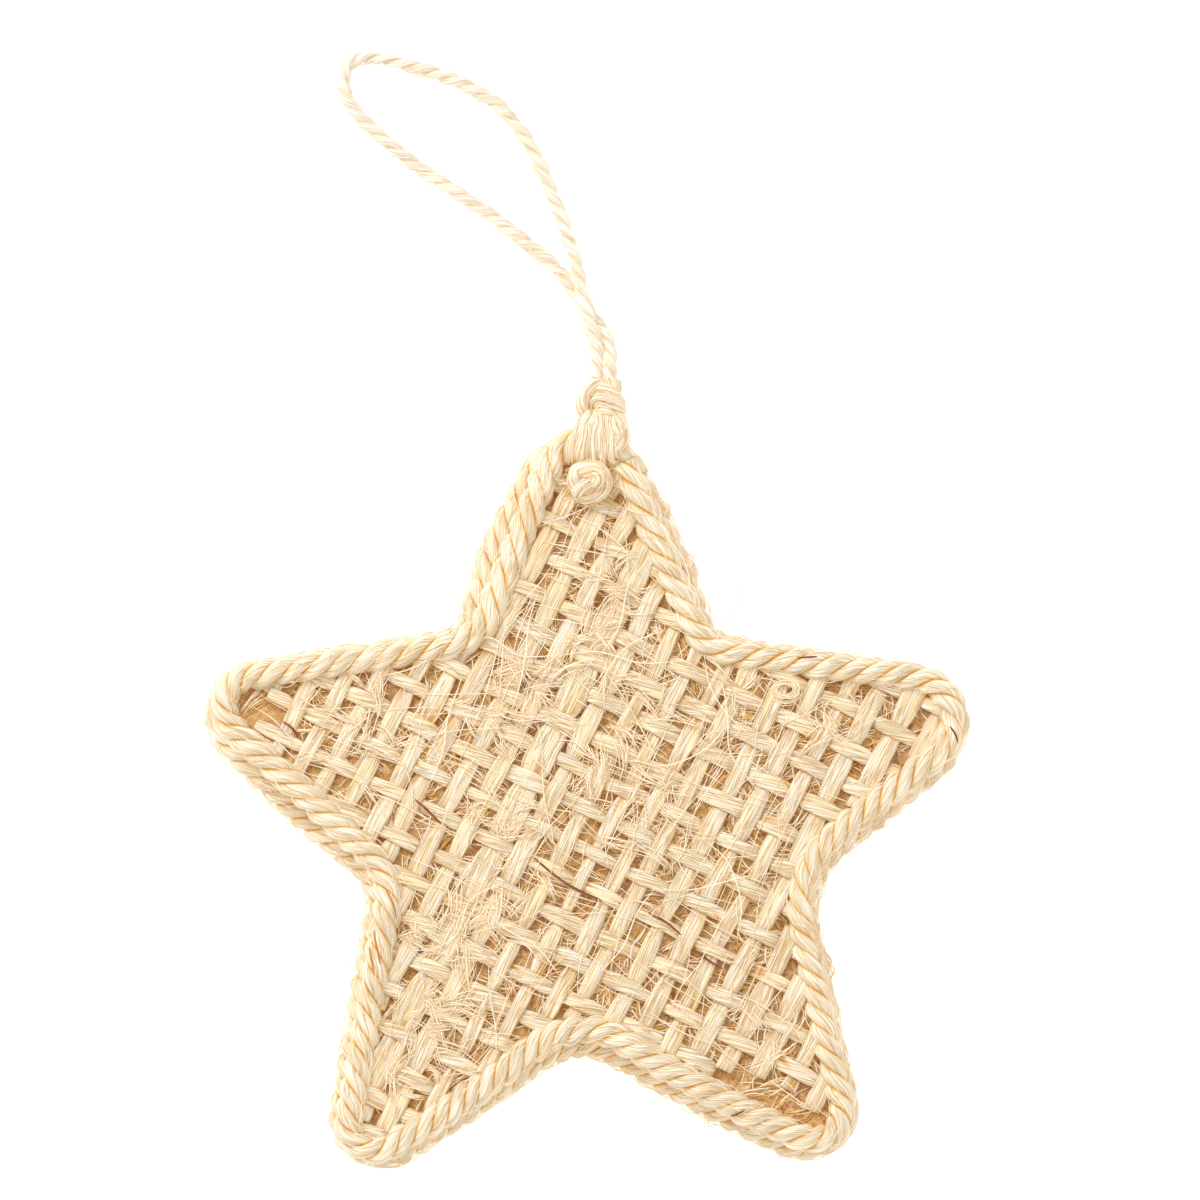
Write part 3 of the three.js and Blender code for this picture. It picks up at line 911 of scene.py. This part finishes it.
# Long fibres on top, short curled ones lower down, and straight ones along the strips.
face_tubes = strays(
    150, lengths=(9, 24), curls=(0.1, 0.9), sways=(0.03, 0.2), lows=(7.5, 7.9), highs=(7.9, 8.4),
    points=12, thickness=0.16, along_strips=0.5, rng=rng,
)
face_tubes += strays(
    170, lengths=(3, 8), curls=(0.1, 1.5), sways=(0.05, 0.4), lows=(7.0, 7.6), highs=(7.5, 8.0),
    points=8, thickness=0.15, along_strips=0.4, rng=rng,
)
face_tubes += strays(
    420, lengths=(5, 14), curls=(0.0, 0.5), sways=(0.0, 0.15), lows=(7.2, 7.6), highs=(7.5, 7.9),
    points=8, thickness=0.14, along_strips=1.0, rng=rng,
)
# Frayed places: middle, spread, how many wisps and how curled they are. A wisp is a few fibres
# fanned out from one root. More wisps lie here and there on the face.
frayed = [
    ((-22.1, -22.6), 3.6, 22, 1.8), ((-11.1, -3.5), 2.6, 13, 3.4), ((-29.5, -44.1), 2.8, 9, 1.8),
    ((1.9, 23.6), 4.4, 15, 1.6), ((12.9, 2.9), 2.6, 8, 1.2), ((1.9, 5.3), 2.4, 7, 1.6),
    ((-8.5, 18.5), 4.2, 17, 1.4), ((6.0, 33.0), 2.8, 8, 1.8), ((-16.5, 14.5), 2.8, 8, 1.6),
    ((24.0, 18.5), 2.8, 7, 2.0), ((-35.0, 9.5), 3.0, 8, 1.8), ((30.5, -38.0), 2.8, 7, 1.8),
    ((-14.0, -17.5), 3.0, 8, 1.4), ((-24.0, -34.0), 3.4, 15, 1.4), ((40.0, 8.5), 2.6, 6, 2.0),
]
wisp_spots = [(np.array(at) + rng.normal(0, reach * 0.6, 2), curl)
              for at, reach, count, curl in frayed for _ in range(count)]
wisp_spots += [(spot, 0.7) for spot in scattered(50, rng, face_edge)]
for root, wisp_curl in wisp_spots:
    heading = warp_bearing + rng.choice([0, pi, -pi / 2, pi / 2]) + rng.normal(0, 0.35)
    bend = rng.normal(0, wisp_curl * 0.6)
    low = rng.uniform(7.2, 7.7)
    reach = rng.uniform(3.5, 9)
    for _ in range(rng.integers(4, 10)):
        length = reach * rng.uniform(0.6, 1.1)
        fan = heading + rng.normal(0, 0.1)
        spot = root + 0.5 * length * np.array([cos(fan), sin(fan)]) + rng.normal(0, 0.35, 2)
        line = stray_line(
            spot, fan + 0.3 * bend, length, bend + rng.normal(0, 0.25), rng.uniform(0.03, 0.2),
            low, low + rng.uniform(0.1, 0.9), 8, rng,
        )
        if inside(line[[0, -1], :2], face_edge).all():
            face_tubes.append(hair_tube(line, 0.15 * rng.uniform(0.7, 1.3), rng.random()))
# One strip end has curled up into a ring.
curl_middle = (30.9, 16.6)
curl_fibres = 26
for number in range(curl_fibres):
    turn = np.linspace(0, rng.uniform(3.6, 5.6), 16) + rng.uniform(0, 6)
    reach = rng.uniform(1.15, 1.9) * np.linspace(0.8, 1.25 + 0.25 * sin(2.4 * number), 16)
    face_tubes.append(hair_tube(
        np.column_stack([
            curl_middle[0] + 0.3 * sin(1.9 * number) + 1.1 * reach * np.cos(turn),
            curl_middle[1] + 0.25 * cos(2.7 * number) + 0.85 * reach * np.sin(turn),
            rng.uniform(7.5, 8.5) + 0.25 * np.sin(turn + 2),
        ]),
        0.2, rng.random(),
    ))
# Long pale fibres across the face, by their places along the weft and up the warp.
for route in [
    ((9.4, 27.2), (13.6, 21.6), (16.7, 16.2), (21.2, 13.6), (25.1, 12.0)),
    ((6.1, 28.4), (9.0, 24.4), (13.0, 21.6), (18.5, 19.8)),
    ((-21.5, 25.6), (-20.6, 20.5), (-18.8, 15.7), (-17.4, 11.0), (-16.7, 6.3)),
    ((-26.0, 8.0), (-25.2, 1.5), (-23.4, -4.0), (-23.0, -9.5)),
    ((16.0, -8.0), (15.2, -13.0), (15.6, -19.0), (14.2, -24.0)),
    ((-9.0, -22.0), (-3.0, -24.5), (3.5, -25.0), (9.0, -27.5)),
    ((-8.5, 20.0), (-7.6, 26.0), (-9.2, 32.5), (-8.4, 38.0)),
    ((-14.5, 17.5), (-9.0, 21.0), (-2.0, 22.5), (4.0, 26.0)),
    ((1.5, 31.0), (-0.6, 37.0), (-4.6, 41.0), (-10.5, 43.0)),
    ((-3.5, 13.0), (-6.0, 18.0), (-5.0, 24.0), (-1.0, 29.0)),
    ((-30.0, 12.0), (-25.0, 15.5), (-19.5, 15.0), (-13.0, 18.5)),
    ((2.0, 8.0), (8.5, 9.5), (13.0, 14.5), (14.5, 20.0)),
    ((-38.0, 2.0), (-33.0, 6.5), (-30.5, 13.0), (-31.5, 19.0)),
    ((18.0, 2.0), (24.0, 0.5), (29.0, -4.5), (31.0, -10.0)),
    ((5.0, 44.0), (7.6, 38.0), (6.8, 32.0), (9.5, 27.0)),
    ((-12.0, -34.0), (-8.5, -29.0), (-9.0, -23.0), (-5.5, -18.0)),
]:
    flat = [along * weft + up * warp for along, up in route]
    middle = [7.9 + 0.5 * sin(pi * at / (len(route) - 1)) for at in range(len(route))]
    line = smooth_line(np.column_stack([flat, middle]), 1.0)
    face_tubes.append(hair_tube(line, 0.22, 0.1))
fibre_piece("face_fibres", face_tubes, loose_sisal)

# Tangled fibre in the gaps of the weave and round the stopper knot, half of it in the darker brown copy
# that paints its shade.
gap_tubes = []
gap_roots = 560
for root in scattered(gap_roots, rng, face_edge):
    heading = warp_bearing + rng.choice([0, pi / 2, 0.8, -0.8]) + rng.normal(0, 0.3)
    bend = rng.normal(0, 0.5)
    for _ in range(rng.integers(4, 13)):
        line = stray_line(
            root + rng.normal(0, 0.8, 2), heading + rng.normal(0, 0.16), rng.uniform(3, 7),
            bend + rng.normal(0, 0.25), rng.uniform(0.05, 0.2), rng.uniform(6.33, 6.5),
            rng.uniform(6.4, 6.9), 6, rng,
        )
        if inside(line[[0, -1], :2], face_edge).all():
            gap_tubes.append(hair_tube(line, 0.22 * rng.uniform(0.7, 1.3), rng.random(), 0.3))
stopper_edge = 3.2
for angle in rng.uniform(150, 400, 70):
    round_stopper = np.array([cos(radians(angle)), sin(radians(angle))])
    at = np.array(stopper_centre) + stopper_edge * round_stopper
    line = stray_line(
        at + rng.normal(0, 0.4, 2), radians(angle) + rng.normal(0, 0.5), rng.uniform(1.5, 4),
        rng.normal(0, 1.2), 0.2, rng.uniform(6.8, 7.6), rng.uniform(7.4, 9.0), 7, rng,
    )
    gap_tubes.append(hair_tube(line, 0.16, rng.random(), 0.3))
fibre_piece("gap_fibres", gap_tubes[::2], loose_sisal)
fibre_piece("card_fibres", gap_tubes[1::2], shaded_sisal)


def rope_hair(line, up, out, spot, angle, heading, length, lift, radius, points=7):
    """The line of a fibre that lies along a cord's surface and stands off by lift half way."""
    share = np.linspace(-0.5, 0.5, points)
    spacing = run_of(line)[-1] / (len(line) - 1)
    at = np.clip(spot + share * length * cos(heading) / spacing, 0, len(line) - 1.001)
    below = np.floor(at).astype(int)
    part = (at - below)[:, None]
    middle, one, two = (
        axis[below] * (1 - part) + axis[below + 1] * part for axis in (line, up, out)
    )
    around = (angle + share * length * sin(heading) / radius)[:, None]
    reach = (radius + lift * np.cos(pi * share) ** 1.5)[:, None]
    return middle + reach * (np.cos(around) * one + np.sin(around) * two)


def cord_hairs(line, up, out, count, low, high, radius, fuzz, thickness, rng):
    """Fine fibres along a cord's surface, between two angles round it."""
    return [
        hair_tube(
            rope_hair(
                line, up, out, rng.uniform(0, len(line) - 1), radians(rng.uniform(low, high)),
                rng.normal(-0.45, 0.3), rng.uniform(1.4, 2.9) * radius**0.5 * 1.3,
                abs(rng.normal(0, fuzz)), radius,
            ),
            thickness * rng.uniform(0.7, 1.3),
            rng.random(),
        )
        for _ in range(count)
    ]


# Fuzz on the ropes, where they show, and on the twine all round.
rope_surface = 2.2
rope_tubes = cord_hairs(
    front_line, front_up, front_out, 560, -80, 100, rope_surface, fuzz=0.3, thickness=0.12, rng=rng
)
rope_tubes += cord_hairs(
    back_line, back_up, back_out, 640, 0, 110, rope_surface, fuzz=0.35, thickness=0.12, rng=rng
)
# Tufts that stand off the back rope, by their place on it and how far they stand off.
tufts = [
    (17.5, 37.8, 1.0), (39.8, -25.7, 1.3), (13.5, 47.0, 0.8), (-61.0, 13.0, 0.7), (24.0, 27.0, 0.8),
]
for x, y, off in tufts:
    spot = np.argmin(np.hypot(back_line[:, 0] - x, back_line[:, 1] - y))
    for _ in range(16):
        line = rope_hair(
            back_line, back_up, back_out, spot + rng.normal(0, 1.5), radians(rng.uniform(40, 90)),
            rng.normal(0.2, 0.5), rng.uniform(2.5, 4.5), off * rng.uniform(0.3, 1.0), rope_surface,
        )
        rope_tubes.append(hair_tube(line, 0.14, rng.random()))
fibre_piece("rope_fibres", rope_tubes, loose_sisal)
twine_surface = 1.0
tie_hairs_per_mm = 2.8
twine_tubes = cord_hairs(
    loop_line, loop_one, loop_two, 440, 0, 360, twine_surface, fuzz=0.3, thickness=0.09, rng=rng
)
for line, one, two, radius in tie_lines:
    count = round(tie_hairs_per_mm * run_of(line)[-1])
    twine_tubes += cord_hairs(
        line, one, two, count, 0, 360, radius - 0.05, fuzz=0.32, thickness=0.1, rng=rng
    )
# Fibres that stick out of the loop, each by its share of the way round, its turn and its length.
for share, turn, length in [
    (0.33, 0.5, 3.5), (0.71, -0.35, 4.5), (0.74, 0.3, 5.0), (0.78, 0.6, 3.0), (0.8, -0.7, 2.6),
    (0.81, 0.9, 2.4), (0.86, 0.4, 3.5), (0.9, -0.5, 3.0), (0.2, -0.5, 3.0), (0.12, 0.5, 3.5),
]:
    at = round(share * (len(loop_line) - 1))
    ahead = loop_line[at] - loop_line[at - 1]
    heading = np.arctan2(ahead[1], ahead[0]) + turn
    stray = stray_line(
        loop_line[at][:2] + 0.8 * np.array([cos(heading), sin(heading)]), heading, length,
        -1.6 * turn, 0.1, 1.3, 2.1, 9, rng,
    )
    twine_tubes.append(hair_tube(stray, 0.13, 0.9, 0.5))
fibre_piece("twine_fibres", twine_tubes, loose_sisal)

# Unbleached bark fibre: a few coarse reddish brown fibres left in the sisal, spun and woven in
# with the rest. Those in the rope lie in its surface, near its top.
bark = combed_sisal(
    "unbleached_bark_fibre", "#9c5a34", "#7c3f22", "#5f2c17", line_width=4.0, painted_glow=0.0
)
bark_routes = [
    [(-27.0, -0.6, 7.9), (-25.0, -2.4, 8.0), (-23.0, -4.4, 7.7)],
    [(-8.6, -9.6, 7.5), (-5.4, -12.4, 7.9), (-2.2, -14.6, 8.0), (3.2, -17.0, 7.6)],
    [(9.4, -18.4, 7.6), (12.2, -20.0, 7.9), (14.6, -22.0, 7.6)],
    [(16.4, -24.0, 7.7), (18.6, -25.9, 8.0), (21.0, -27.3, 7.6)],
    [(-47.8, 11.8, 7.6), (-46.5, 10.9, 7.9), (-45.3, 9.4, 7.6)],
]
bark_tubes = [hair_tube(smooth_line(route, 0.5), 0.4, 0.3) for route in bark_routes]
bark_in_rope = [
    (34.3, 22.0, 14, -0.25, 3.2), (23.1, -50.4, 30, -0.9, 2.6), (56.8, 9.7, 10, -0.9, 3.0),
]


def in_front_rope(x, y, degrees, heading, length):
    """A coarse fibre in the front rope, by its place, its turn off the rope's top and its heading."""
    spot = np.argmin(np.hypot(front_line[:, 0] - x, front_line[:, 1] - y))
    line = rope_hair(
        front_line, front_up, front_out, spot, radians(degrees), heading, length, lift=0.1,
        radius=strand_hub + strand_swell + 0.03,
    )
    return hair_tube(line, thickness=0.28, tone=0.4)


bark_tubes += [in_front_rope(*place) for place in bark_in_rope]
fibre_piece("bark_fibres", bark_tubes, bark)

# Amber fibre: a few half bleached fibres spun into the front rope beside the left foot, as orange
# as varnished pine.
amber = combed_sisal(
    "amber_bark_fibre", "#e0a458", "#cf8a3a", "#b06c26", line_width=4.0, painted_glow=0.05, painted_glow_colour="#ff9a30"
)
amber_in_rope = [
    (-32.6, -24.2, 10, -0.4, 5.4), (-31.4, -17.4, -20, -0.5, 4.6), (-33.2, -26.0, 24, -0.4, 4.0),
]
amber_tubes = [in_front_rope(*place) for place in amber_in_rope]
fibre_piece("amber_fibres", amber_tubes, amber)
